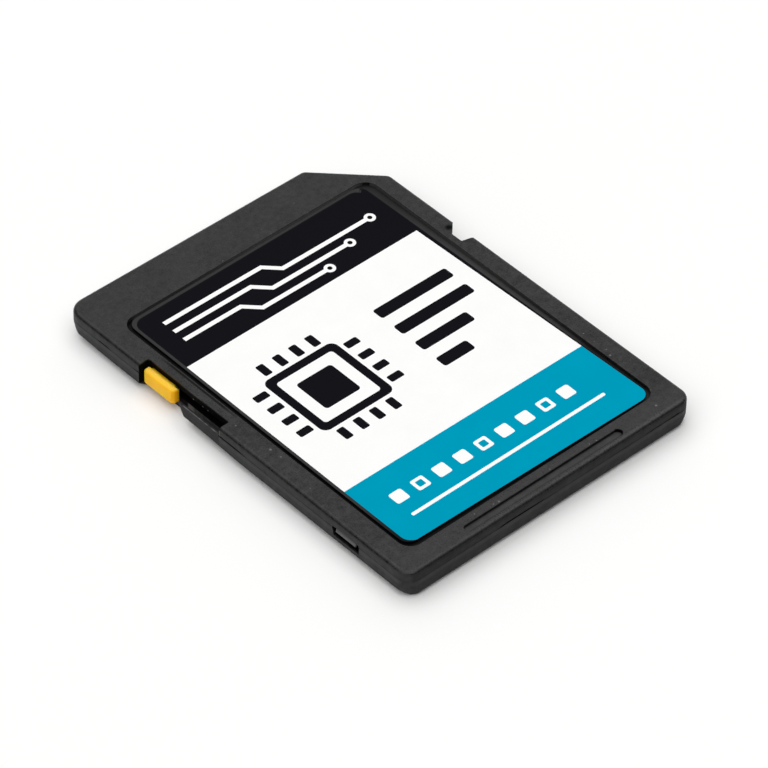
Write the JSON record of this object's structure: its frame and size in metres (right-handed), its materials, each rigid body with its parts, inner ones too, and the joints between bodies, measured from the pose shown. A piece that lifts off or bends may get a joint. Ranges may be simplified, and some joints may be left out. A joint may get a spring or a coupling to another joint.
{
  "type": "flash memory card",
  "caption": "Thin flat rectangular flash memory card with one cut corner, a write-protect slider in one side, a retention notch in the other, a recessed label and a row of contacts.",
  "frame": {"origin": "middle of the back face, where the card lies on a table", "axes": "+Z out of the label, +Y towards the contact end, +X to the right when the label is read upright, so the cut corner is at +X +Y and the slider is on the -X side"},
  "size_m": [0.024, 0.032, 0.0021],
  "materials": {
    "shell_plastic": "fine spark-eroded texture, dark grey-black",
    "slider_plastic": "satin moulded, warm yellow",
    "label_film": "printed film in three plain fields, satin",
    "board_laminate": "green solder mask",
    "contact_gold": "gold plate, satin",
    "chip_resin": "moulded resin",
    "capacitor_ceramic": "fired ceramic",
    "resistor_ceramic": "fired ceramic"
  },
  "bodies": {
    "card": {"upper_shell": "shell_plastic", "lower_shell": "shell_plastic", "front_label": "label_film", "circuit_board": "board_laminate", "contact_1_data3": "contact_gold", "contact_2_command": "contact_gold", "contact_3_ground": "contact_gold", "contact_4_supply": "contact_gold", "contact_5_clock": "contact_gold", "contact_6_ground": "contact_gold", "contact_7_data0": "contact_gold", "contact_8_data1": "contact_gold", "contact_9_data2": "contact_gold", "controller_chip": "chip_resin", "flash_memory_chip": "chip_resin", "capacitor_1": "capacitor_ceramic", "capacitor_2": "capacitor_ceramic", "capacitor_3": "capacitor_ceramic", "capacitor_4": "capacitor_ceramic", "resistor_1": "resistor_ceramic", "resistor_2": "resistor_ceramic", "resistor_3": "resistor_ceramic", "resistor_4": "resistor_ceramic"},
    "slider": {"write_protect_slider": "slider_plastic"}
  },
  "joints": [
    {"name": "write_protect_slide", "type": "slide", "parent": "card", "child": "slider", "axis": [0, -1, 0], "range_m": [0, 0.00445]}
  ]
}
